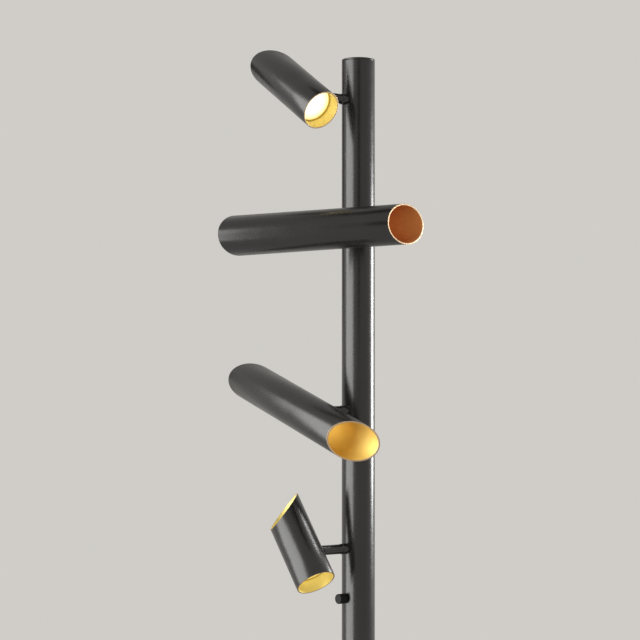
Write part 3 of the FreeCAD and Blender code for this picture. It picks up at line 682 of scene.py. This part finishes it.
class LAMP_OT_arms(bpy.types.Operator):
    """Build the fixed collar and the turning flare of every arm."""
    bl_idname = "lamp.arms"
    bl_label = "Arms"

    def execute(self, context):
        collar = self.collar()
        flare = self.flare()
        for head in HEADS:
            for kind, pattern, body, place in (
                    ("arm_base", collar, "stand", arm_place(head)),
                    ("arm_swivel", flare, "head_%d" % head, head_place(head))):
                settle(copy_of(pattern, "%s_shell_%d" % (kind, head)), body, ["%s_%d" % (kind, head)],
                       [finish("powder_coat")], place)
        bpy.data.objects.remove(collar)
        bpy.data.objects.remove(flare)
        return {"FINISHED"}

    def along(self, piece):
        """Turn a bar from upright to pointing away from the pole."""
        only(piece)
        piece.rotation_euler = (math.radians(90), 0, 0)
        bpy.ops.object.transform_apply(location=True, rotation=True, scale=True)

    def collar(self):
        """Collar saddled to the pole, with the plain barrel before it."""
        radius, split = sizes().arm_radius, sizes().arm_split
        wide, shoulder, end, barrel_edge = 0.0079, 0.0339, 0.0345, 0.0004
        start = sizes().pole_radius - 0.006
        piece = bar("collar", wide, start, shoulder, faces=64)
        turn_on_lathe(piece, wide, shoulder, [
            (wide - 0.0001, end - 0.0002), (wide - 0.0004, end), (radius, end),
            (radius, split - barrel_edge), (radius - barrel_edge, split), (PIVOT_BORE, split),
            (PIVOT_BORE, start + 0.0005)])
        self.along(piece)
        carve(piece, bar("pole_shape", sizes().pole_radius, -0.02, 0.02))
        return piece

    def flare(self):
        """Short end that turns with the head, widened to a saddle on the tube."""
        radius, washer, wide, barrel_edge = sizes().arm_radius, 0.0009, 0.0084, 0.0004
        wall = sizes().arm_reach - sizes().tube_radius
        start = sizes().arm_split + washer
        piece = bar("flare", radius - barrel_edge, start, start + 0.0002, faces=64)
        turn_on_lathe(piece, radius - barrel_edge, start + 0.0002, [
            (radius, start + 0.0006), (radius, wall - 0.0040), (wide - 0.0006, wall - 0.0036),
            (wide - 0.0002, wall - 0.0032), (wide, wall - 0.0027), (wide, wall + 0.004),
            (PIVOT_BORE, wall + 0.004), (PIVOT_BORE, start + 0.0001)])
        self.along(piece)
        carve(piece, bar("tube_shape", sizes().tube_radius, -0.02, 0.02,
                         place=(0, -sizes().arm_reach, 0), turn=(0, math.radians(90), 0)))
        return piece


class LAMP_OT_head_tubes(bpy.types.Operator):
    """Build the four head tubes with their square and slanted ends."""
    bl_idname = "lamp.head_tubes"
    bl_label = "Head tubes"

    def execute(self, context):
        for head in HEADS:
            self.tube(head)
        return {"FINISHED"}

    def planes(self, head):
        """The near and far end planes, each as a point on the tube's axis and a way out."""
        slope = sizes().cut_run
        near_slope = 0 if head in SQUARE_NEAR_END else slope
        far_slope = -slope if head in LONGER_ON_THE_POLE_SIDE else slope
        reach = -sizes().arm_reach
        return (
            (Vector((sizes().head_near[head - 1], reach, 0)), Vector((1, -near_slope, 0)).normalized()),
            (Vector((-sizes().head_far[head - 1], reach, 0)), Vector((-1, far_slope, 0)).normalized()))

    def tube(self, head):
        """Outer and inner wall, cut to both planes, joined by flat rims and drilled for the pivot."""
        planes = self.planes(head)
        tube = self.walls(head)
        self.cut_ends(tube, planes)
        self.split_beside_pivot(tube)
        self.ease_rims(tube, planes)
        carve(tube, bar("pivot_drill", PIVOT_BORE, 0, sizes().arm_reach,
                        turn=(math.radians(90), 0, 0), faces=32))
        self.give_finishes(tube, head, planes)
        settle(tube, "head_%d" % head, ["head_tube_%d" % head], [], head_place(head))

    def walls(self, head):
        """Open outer and inner wall as one piece, longer than the head at both ends."""
        radius, wall, reach = sizes().tube_radius, sizes().tube_wall, sizes().arm_reach
        beyond = 2 * radius
        start = -sizes().head_far[head - 1] - beyond
        end = sizes().head_near[head - 1] + beyond
        outer, inner = [
            bar("wall", size, -(end - start) / 2, (end - start) / 2, ends="NOTHING",
                place=((start + end) / 2, -reach, 0), turn=(0, math.radians(90), 0))
            for size in (radius, radius - wall)]
        edit_faces(inner, lambda item: True)
        bpy.ops.mesh.flip_normals()
        leave_edit()
        only(outer)
        inner.select_set(True)
        bpy.ops.object.join()
        tube = bpy.context.active_object
        tube.name = "head_shell_%d" % head
        return tube

    def cut_ends(self, tube, planes):
        """Cut both ends, then close each with a flat rim."""
        for point, outward in planes:
            edit_edges(tube, lambda item: True)
            bpy.ops.mesh.bisect(plane_co=point, plane_no=outward, clear_outer=True)
            leave_edit()
        for point, outward in planes:
            edit_edges(tube, lambda item: item.is_boundary and self.lies_on(item, point, outward))
            bpy.ops.mesh.bridge_edge_loops()
            leave_edit()

    def lies_on(self, edge, point, outward):
        """Whether an edge lies in the plane of an end."""
        return all(abs((corner.co - point).dot(outward)) < ON_CUT for corner in edge.verts)

    def split_beside_pivot(self, tube):
        """Rings of edges beside the pivot, which keep the long faces clear of the drilled hole."""
        aside = 0.013
        for step in (-aside, aside):
            edit_edges(tube, lambda item: True)
            bpy.ops.mesh.bisect(plane_co=(step, -sizes().arm_reach, 0), plane_no=(1, 0, 0))
            leave_edit()

    def ease_rims(self, tube, planes):
        """Round the rims' sharp edges a little."""
        edit_edges(tube, lambda item: any(self.lies_on(item, *plane) for plane in planes)
                   and len(item.link_faces) == 2 and item.calc_face_angle(0) > math.radians(30))
        bpy.ops.mesh.bevel(offset=EASE, segments=2, profile=0.5)
        leave_edit()

    def give_finishes(self, tube, head, planes):
        """Coat outside, gold inside, and bare metal on the rims."""
        outside, inside, rim = 0, 1, 2
        # Heads 2 and 3 take a tinted copy of the gold inside: painted shade in head 2, painted bounce
        # light in head 3.
        for name in ("powder_coat", INSIDE.get(head, "satin_gold"), "brushed_rim"):
            tube.data.materials.append(finish(name))
        radius, reach = sizes().tube_radius, sizes().arm_reach
        bore = radius - sizes().tube_wall
        for face in tube.data.polygons:
            off_axis = (face.center - Vector((face.center.x, -reach, 0))).length
            at_an_end = any(
                abs(face.normal.dot(outward)) > 0.3
                and abs((face.center - point).dot(outward)) < 0.0005 for point, outward in planes)
            if at_an_end and bore - 0.0001 < off_axis < radius - 0.0001:
                face.material_index = rim
            elif off_axis < bore + 0.0002:
                face.material_index = inside
            else:
                face.material_index = outside


class LAMP_OT_light_engines(bpy.types.Operator):
    """Build the opal diffuser, its snap ring and the rear baffle of every head."""
    bl_idname = "lamp.light_engines"
    bl_label = "Light engines"

    def execute(self, context):
        patterns = {
            "diffuser": self.diffuser(), "retaining_ring": self.ring(), "baffle": self.baffle()}
        finishes = {
            "diffuser": ("opal_plastic", "opal_light"), "retaining_ring": ("gold_metal", "snap_ring"),
            "baffle": ("gold_metal", "satin_gold")}
        along_tube = Matrix.Translation((0, -sizes().arm_reach, 0)) @ ALONG_TUBE
        for head in HEADS:
            for kind, pattern in patterns.items():
                slot, material = finishes[kind]
                if kind == "diffuser" and head in TURNED_DOWN:
                    material = "opal_dim"
                settle(copy_of(pattern, "%s_shell_%d" % (kind, head)), "head_%d" % head,
                       ["%s_%d" % (kind, head)], [finish(material)],
                       head_place(head) @ along_tube)
        for pattern in patterns.values():
            bpy.data.objects.remove(pattern)
        return {"FINISHED"}

    def diffuser(self):
        """Disc with an eased front edge and a slight dish in its face."""
        radius, back, front = 0.0273, 0.0284, 0.0314
        disc = bar("disc", radius, back, front - 0.0005)
        turn_on_lathe(disc, radius, front - 0.0005, [
            (radius - 0.00015, front - 0.0002), (radius - 0.0005, front), (0.0245, front),
            (0.0238, front - 0.0002), (0.012, front - 0.0003)])
        places = disc.data.uv_layers[0]
        places.name = "disc_place"
        for corner in disc.data.loops:
            point = disc.data.vertices[corner.vertex_index].co
            places.data[corner.index].uv = (
                point.x / (2 * radius) + 0.5, point.y / (2 * radius) + 0.5)
        return disc

    def ring(self):
        """Split ring, open on the side away from the pole."""
        radius, bore, back, front = 0.02745, 0.0254, 0.0314, 0.0334
        ring = bar("snap_ring", radius, back, front)
        carve(ring, bar("ring_bore", bore, back - 0.0014, front + 0.0016))
        deselect_everything()
        bpy.ops.mesh.primitive_cube_add(
            size=1, location=(0, -0.0275, (back + front) / 2), scale=(0.005, 0.006, 0.006))
        carve(ring, named("ring_gap"))
        soften(ring, 0.0007, 4, 50)
        return ring

    def baffle(self):
        """Pressed dish that closes the bore behind the pivot."""
        radius, back, front = 0.0274, -0.018, -0.012
        floor, bead = back + 0.0048, back + 0.0043
        dish = bar("dish", radius, back, front)
        turn_on_lathe(dish, radius, back, [
            (0.0262, back), (0.0262, floor - 0.001), (0.0252, floor), (0.014, floor),
            (0.0135, bead), (0.011, bead), (0.0105, floor)], upward=False)
        soften(dish, 0.0004, 2, 60)
        return dish


class LAMP_OT_knob(bpy.types.Operator):
    """Build the knurled dimmer knob."""
    bl_idname = "lamp.knob"
    bl_label = "Dimmer knob"

    def execute(self, context):
        low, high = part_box("dimmer_knob")
        radius = (high.z - low.z) / 2
        height = (high.z + low.z) / 2
        back, front = -high.y, -low.y
        knurls, knurl_depth, half_groove = 28, 0.0005, 0.15
        knob = bar("knob_shell", radius - EASE, back, back + 0.0004, faces=4 * knurls)
        turn_on_lathe(knob, radius - EASE, back + 0.0004, [
            (radius, back + 0.0008), (radius, front - 0.0010), (radius - 0.0003, front - 0.0004),
            (radius - 0.0010, front), (radius - 0.0022, front), (radius - 0.0026, front - 0.0003),
            (0.0008, front - 0.0003)])
        edit_faces(knob, lambda item: False)
        mesh = bmesh.from_edit_mesh(knob.data)
        bpy.ops.mesh.select_mode(type="VERT")
        for corner in mesh.verts:
            angle = math.atan2(corner.co.y, corner.co.x) * knurls / math.tau
            in_groove = abs(angle - round(angle)) < half_groove
            on_side = math.hypot(corner.co.x, corner.co.y) > radius - 0.0001
            corner.select = in_groove and on_side
        mesh.select_flush(True)
        bmesh.update_edit_mesh(knob.data)
        share = (radius - knurl_depth) / radius
        bpy.ops.transform.resize(value=(share, share, 1), center_override=(0, 0, (back + front) / 2))
        leave_edit()
        carve(knob, bar("shaft_room", 0.0064, back - 0.001, back + 0.0026, faces=48))
        carve(knob, bar("shaft_bore", 0.00302, back - 0.001, 0.0381, faces=48))
        place = Matrix.Translation((0, 0, height)) @ OUTWARD
        settle(knob, "dimmer_turn", ["dimmer_knob"], [finish("knob_plastic")], place, 25)
        return {"FINISHED"}


class LAMP_OT_stage(bpy.types.Operator):
    """Set up floor, backdrop, lamps and camera."""
    bl_idname = "lamp.stage"
    bl_label = "Stage"

    def execute(self, context):
        settings = context.scene.lamp_stage
        context.scene.view_settings.view_transform = "Standard"
        self.floor()
        self.flags(settings)
        self.lamps(settings)
        self.camera(settings)
        self.surroundings(settings)
        return {"FINISHED"}

    def direction(self, settings, angle):
        """Level direction at an angle to the right of the camera's own."""
        turn = settings.azimuth + math.radians(angle)
        return Vector((math.sin(turn), -math.cos(turn), 0))

    def floor(self):
        """Round floor that fades outwards into the backdrop's own colour, so that no edge shows."""
        deselect_everything()
        bpy.ops.mesh.primitive_circle_add(vertices=96, radius=9, fill_type="NGON", location=(0, 0, 0))
        floor = named("studio_floor")
        made = Nodes("studio_paper")
        colour = tuple(colours().backdrop)
        shade = made.shades(made.noise(3, 2), times(colour, 0.995), colour)
        matt = made.add("ShaderNodeBsdfDiffuse", Color=shade)
        glow = made.add("ShaderNodeEmission", Color=colour + (1,), Strength=1.0)
        far = made.add("ShaderNodeVectorMath", Vector=made.place)
        far.operation = "LENGTH"
        fade = made.between(far.outputs["Value"], low=0.72, high=1.0, start=0.5, end=1.9)
        share = made.add("ShaderNodeMath")
        share.operation = "MULTIPLY"
        made.tree.links.new(seen_ray(made.tree), share.inputs[0])
        made.tree.links.new(fade, share.inputs[1])
        mix = made.add("ShaderNodeMixShader", Fac=share.outputs[0])
        made.tree.links.new(matt.outputs[0], mix.inputs[1])
        made.tree.links.new(glow.outputs[0], mix.inputs[2])
        made.tree.links.new(mix.outputs[0], made.output.inputs["Surface"])
        floor.data.materials.append(made.material)

    def flags(self, settings):
        """Black panels before, behind and above, which only gloss reflects: they keep the coat dark."""
        made = Nodes("flag_cloth")
        cloth = made.add("ShaderNodeBsdfDiffuse", Color=made.shades(
            made.noise(40, 2), (0.004, 0.004, 0.004), (0.008, 0.008, 0.008)))
        made.tree.links.new(cloth.outputs[0], made.output.inputs["Surface"])
        aim = Vector((0, 0, 1.3))
        for name, angle, distance, height, width, tall in (
                ("front_flag", 3, 3.4, 1.9, 2.9, 4.8),
                ("left_flag", -133, 3.2, 1.9, 2.6, 4.8),
                ("top_flag", 0, 0.6, 3.9, 7.0, 7.0)):
            deselect_everything()
            bpy.ops.mesh.primitive_plane_add(size=1, scale=(width, tall, 1))
            panel = named(name)
            place = self.direction(settings, angle) * distance + Vector((0, 0, height))
            panel.rotation_euler = (place - aim).to_track_quat("Z", "Y").to_euler()
            panel.location = place
            only(panel)
            bpy.ops.object.transform_apply(location=True, rotation=True, scale=True)
            panel.data.materials.append(made.material)
            panel.visible_camera = False
            panel.visible_diffuse = False
            panel.visible_shadow = False

    def lamp(self, name, settings, angle, distance, height, width, tall, watts, aim):
        """An area lamp aimed at a height on the pole."""
        light = bpy.data.lights.new(name, "AREA")
        light.shape = "RECTANGLE"
        light.size = width
        light.size_y = tall
        light.energy = watts
        holder = bpy.data.objects.new(name, light)
        bpy.context.collection.objects.link(holder)
        holder.location = self.direction(settings, angle) * distance + Vector((0, 0, height))
        look = Vector((0, 0, aim)) - holder.location
        holder.rotation_euler = look.to_track_quat("-Z", "Y").to_euler()

    def lamps(self, settings):
        """Large soft lamp on the left, two smaller ones on the right."""
        self.lamp("left_lamp", settings, angle=-66, distance=2.2, height=1.28,
                  width=2.35, tall=2.65, watts=settings.left_watts, aim=1.28)
        self.lamp("right_lamp", settings, angle=113, distance=2.0, height=1.26,
                  width=0.66, tall=0.78, watts=settings.right_watts, aim=1.26)
        self.lamp("edge_lamp", settings, angle=112, distance=2.2, height=3.35,
                  width=0.4, tall=1.0, watts=settings.edge_watts, aim=0.9)

    def camera(self, settings):
        """Level camera with a raised lens."""
        lens = bpy.data.cameras.new("studio_camera")
        lens.lens = settings.focal_length
        lens.sensor_width = 36
        lens.shift_y = settings.raise_view
        holder = bpy.data.objects.new("studio_camera", lens)
        bpy.context.collection.objects.link(holder)
        right = Vector((math.cos(settings.azimuth), math.sin(settings.azimuth), 0))
        holder.location = (self.direction(settings, 0) * settings.distance - right * settings.aside
                           + Vector((0, 0, settings.eye_height)))
        holder.rotation_euler = (math.radians(90), 0, settings.azimuth)
        bpy.context.scene.camera = holder

    def surroundings(self, settings):
        """Even light from all round, and the backdrop's colour where the camera looks past it."""
        world = bpy.data.worlds.new("studio")
        bpy.context.scene.world = world
        world.use_nodes = True
        tree = world.node_tree
        tree.nodes.clear()
        output = tree.nodes.new("ShaderNodeOutputWorld")
        even = tree.nodes.new("ShaderNodeBackground")
        even.inputs["Color"].default_value = (1, 0.98, 0.95, 1)
        even.inputs["Strength"].default_value = settings.ambient
        shown = tree.nodes.new("ShaderNodeBackground")
        shown.inputs["Color"].default_value = (*colours().backdrop, 1)
        shown.inputs["Strength"].default_value = 1
        mix = tree.nodes.new("ShaderNodeMixShader")
        tree.links.new(seen_ray(tree), mix.inputs["Fac"])
        tree.links.new(even.outputs[0], mix.inputs[1])
        tree.links.new(shown.outputs[0], mix.inputs[2])
        tree.links.new(mix.outputs[0], output.inputs["Surface"])


class LAMP_PT_pieces(bpy.types.Panel):
    """Lists the lamp's pieces."""
    bl_idname = "LAMP_PT_pieces"
    bl_label = "Floor lamp"
    bl_space_type = "VIEW_3D"
    bl_region_type = "UI"
    bl_category = "Lamp"

    def draw(self, context):
        for operator in OPERATORS:
            self.layout.operator(operator.bl_idname)


OPERATORS = (
    LAMP_OT_stage, LAMP_OT_inner_parts, LAMP_OT_pole, LAMP_OT_base, LAMP_OT_arms,
    LAMP_OT_head_tubes, LAMP_OT_light_engines, LAMP_OT_knob,
)
SETTINGS = {"lamp_sizes": LampSizes, "lamp_colours": LampColours, "lamp_stage": LampStage}


def register():
    """Register the settings, the operators and the panel."""
    for kind in (*SETTINGS.values(), *OPERATORS, LAMP_PT_pieces):
        bpy.utils.register_class(kind)
    for name, kind in SETTINGS.items():
        setattr(bpy.types.Scene, name, PointerProperty(type=kind))


def unregister():
    """Undo what register did."""
    for name in SETTINGS:
        delattr(bpy.types.Scene, name)
    for kind in (LAMP_PT_pieces, *reversed(OPERATORS), *SETTINGS.values()):
        bpy.utils.unregister_class(kind)


def main():
    """Build the whole scene."""
    register()
    bpy.ops.lamp.stage()
    bpy.ops.lamp.inner_parts()
    bpy.ops.lamp.pole()
    bpy.ops.lamp.base()
    bpy.ops.lamp.arms()
    bpy.ops.lamp.head_tubes()
    bpy.ops.lamp.light_engines()
    bpy.ops.lamp.knob()


if __name__ == "__main__":
    main()
